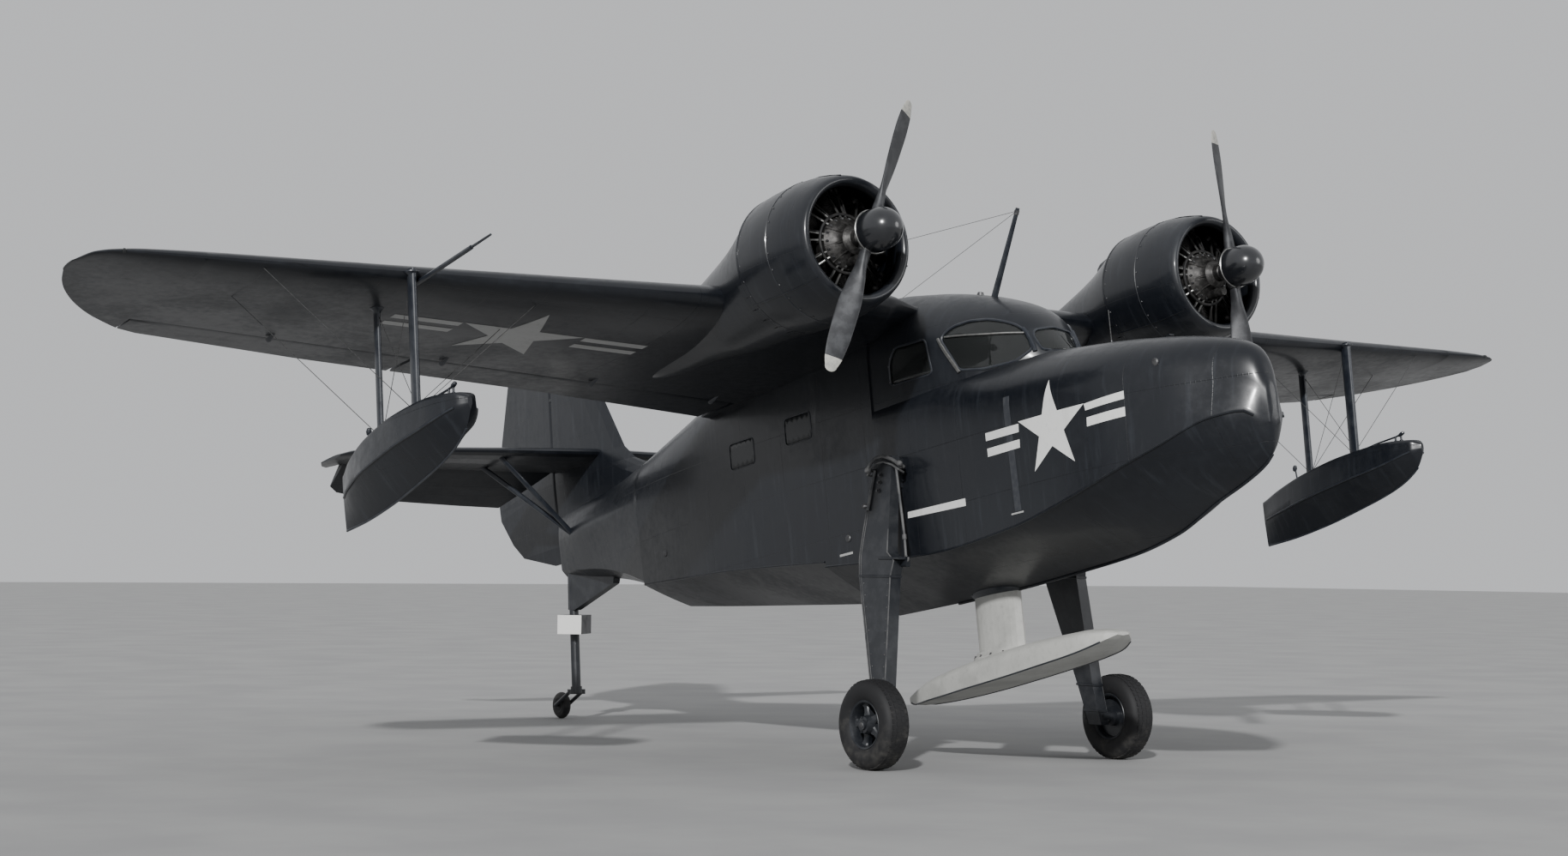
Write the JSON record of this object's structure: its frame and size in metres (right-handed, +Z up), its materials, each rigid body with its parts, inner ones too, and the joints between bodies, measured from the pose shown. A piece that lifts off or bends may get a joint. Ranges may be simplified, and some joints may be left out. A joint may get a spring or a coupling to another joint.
{
  "type": "twin-engined flying boat on beaching gear with a hydro-ski",
  "caption": "Twin-engined high-wing flying boat with wing floats, parked on detachable beaching gear, with a test hydro-ski under the hull.",
  "frame": {"origin": "on the floor, under the middle of the whole aircraft", "axes": "+Z up, nose toward -Y, port wing toward +X"},
  "size_m": [15.12, 11.8624, 5.4506],
  "materials": {
    "navy_paint": "glossy dark sea-blue paint, lightly dusty, riveted seams",
    "glazing": "thin clear acrylic panes",
    "engine_metal": "oily cast and finned alloy",
    "blade_grey": "worn matt grey with pale tips and a dark spinner",
    "gear_steel": "semi-gloss dark painted steel sheet",
    "bare_steel": "weathered tube",
    "pale_paint": "pale grey primer, streaked",
    "tyre_rubber": "dusty black rubber with block tread"
  },
  "bodies": {
    "airframe": {"wing_center": "navy_paint", "wing_outer_right": "navy_paint", "wing_outer_left": "navy_paint", "hull_bow": "navy_paint", "window_fore_right": "glazing", "window_fore_left": "glazing", "window_aft_right": "glazing", "window_aft_left": "glazing", "hull_cabin": "navy_paint", "seat_right": "gear_steel", "seat_left": "gear_steel", "instrument_panel": "gear_steel", "windshield_right": "glazing", "cockpit_window_right": "glazing", "windshield_left": "glazing", "cockpit_window_left": "glazing", "cockpit_canopy": "navy_paint", "radio_mast": "bare_steel", "pitot_boom": "bare_steel", "nacelle_right": "navy_paint", "cowl_right": "navy_paint", "engine_right": "engine_metal", "nacelle_left": "navy_paint", "cowl_left": "navy_paint", "engine_left": "engine_metal", "float_right": "navy_paint", "float_left": "navy_paint", "hull_tail": "navy_paint", "fin": "navy_paint", "tailplane": "navy_paint", "tail_struts_right": "navy_paint", "tail_struts_left": "navy_paint", "hydro_ski": "pale_paint", "ski_strut": "pale_paint", "beaching_leg_right": "gear_steel", "beaching_leg_left": "gear_steel", "tail_post": "gear_steel", "ballast_box": "pale_paint"},
    "door": {"cabin_door": "navy_paint"},
    "bow_lid": {"bow_hatch": "navy_paint"},
    "flap_starboard": {"flap_right": "navy_paint"},
    "flap_port": {"flap_left": "navy_paint"},
    "aileron_starboard": {"aileron_right": "navy_paint"},
    "aileron_port": {"aileron_left": "navy_paint"},
    "propeller_starboard": {"propeller_right": "blade_grey"},
    "propeller_port": {"propeller_left": "blade_grey"},
    "rudder_surface": {"rudder": "navy_paint"},
    "elevator_starboard": {"elevator_right": "navy_paint"},
    "elevator_port": {"elevator_left": "navy_paint"},
    "main_wheel_starboard": {"tyre_right": "tyre_rubber", "wheel_right": "gear_steel"},
    "main_wheel_port": {"tyre_left": "tyre_rubber", "wheel_left": "gear_steel"},
    "caster": {"tail_fork": "gear_steel"},
    "tail_wheel_body": {"tail_wheel": "tyre_rubber"}
  },
  "joints": [
    {"name": "cabin_door_hinge", "type": "hinge", "parent": "airframe", "child": "door", "pos_m": [0.75335, 0.55866, 1.713], "axis": [0, -0.1564, -0.9877], "range_deg": [0, 95]},
    {"name": "bow_hatch_hinge", "type": "hinge", "parent": "airframe", "child": "bow_lid", "pos_m": [-0.24, -4.89708, 3.44804], "axis": [1, 0, 0], "range_deg": [0, 95]},
    {"name": "flap_hinge_right", "type": "hinge", "parent": "airframe", "child": "flap_starboard", "pos_m": [-0.86, 0.10827, 3.19065], "axis": [-0.9966, -0.0551, 0.0614], "range_deg": [0, 40]},
    {"name": "flap_hinge_left", "type": "hinge", "parent": "airframe", "child": "flap_port", "pos_m": [0.86, 0.10827, 3.19065], "axis": [-0.9966, 0.0551, -0.0614], "range_deg": [0, 40]},
    {"name": "aileron_hinge_right", "type": "hinge", "parent": "airframe", "child": "aileron_starboard", "pos_m": [-4.17, -0.07476, 3.39444], "axis": [-0.9966, -0.0551, 0.0614], "range_deg": [-20, 20]},
    {"name": "aileron_hinge_left", "type": "hinge", "parent": "airframe", "child": "aileron_port", "pos_m": [4.17, -0.07476, 3.39444], "axis": [0.9966, -0.0551, 0.0614], "range_deg": [-20, 20]},
    {"name": "rudder_hinge", "type": "hinge", "parent": "airframe", "child": "rudder_surface", "pos_m": [0, 4.50895, 1.63407], "axis": [0, 0.1564, 0.9877], "range_deg": [-25, 25]},
    {"name": "elevator_hinge_right", "type": "hinge", "parent": "airframe", "child": "elevator_starboard", "pos_m": [-0.13, 4.5895, 2.65403], "axis": [-1, 0, 0], "range_deg": [-60, 0]},
    {"name": "elevator_hinge_left", "type": "hinge", "parent": "airframe", "child": "elevator_port", "pos_m": [0.13, 4.5895, 2.65403], "axis": [-1, 0, 0], "range_deg": [-60, 0]},
    {"name": "propeller_shaft_right", "type": "hinge", "parent": "airframe", "child": "propeller_starboard", "pos_m": [-1.945, -3.49844, 4.23067], "axis": [0, -0.9877, 0.1564], "continuous": true},
    {"name": "propeller_shaft_left", "type": "hinge", "parent": "airframe", "child": "propeller_port", "pos_m": [1.945, -3.49844, 4.23067], "axis": [0, -0.9877, 0.1564], "continuous": true},
    {"name": "main_axle_right", "type": "hinge", "parent": "airframe", "child": "main_wheel_starboard", "pos_m": [-1.315, -2.74764, 0.36684], "axis": [1, 0, 0], "continuous": true},
    {"name": "main_axle_left", "type": "hinge", "parent": "airframe", "child": "main_wheel_port", "pos_m": [1.315, -2.74764, 0.36684], "axis": [1, 0, 0], "continuous": true},
    {"name": "tail_caster", "type": "hinge", "parent": "airframe", "child": "caster", "pos_m": [0, 4.20833, 0.3497], "axis": [0, -0.0865, -0.9963], "continuous": true},
    {"name": "tail_axle", "type": "hinge", "parent": "caster", "child": "tail_wheel_body", "pos_m": [0, 4.50835, 0.13828], "axis": [1, 0, 0], "continuous": true}
  ],
  "couplings": [
    {"joint": "aileron_hinge_left", "follows": "aileron_hinge_right", "ratio": 1},
    {"joint": "elevator_hinge_left", "follows": "elevator_hinge_right", "ratio": 1},
    {"joint": "flap_hinge_left", "follows": "flap_hinge_right", "ratio": 1}
  ]
}
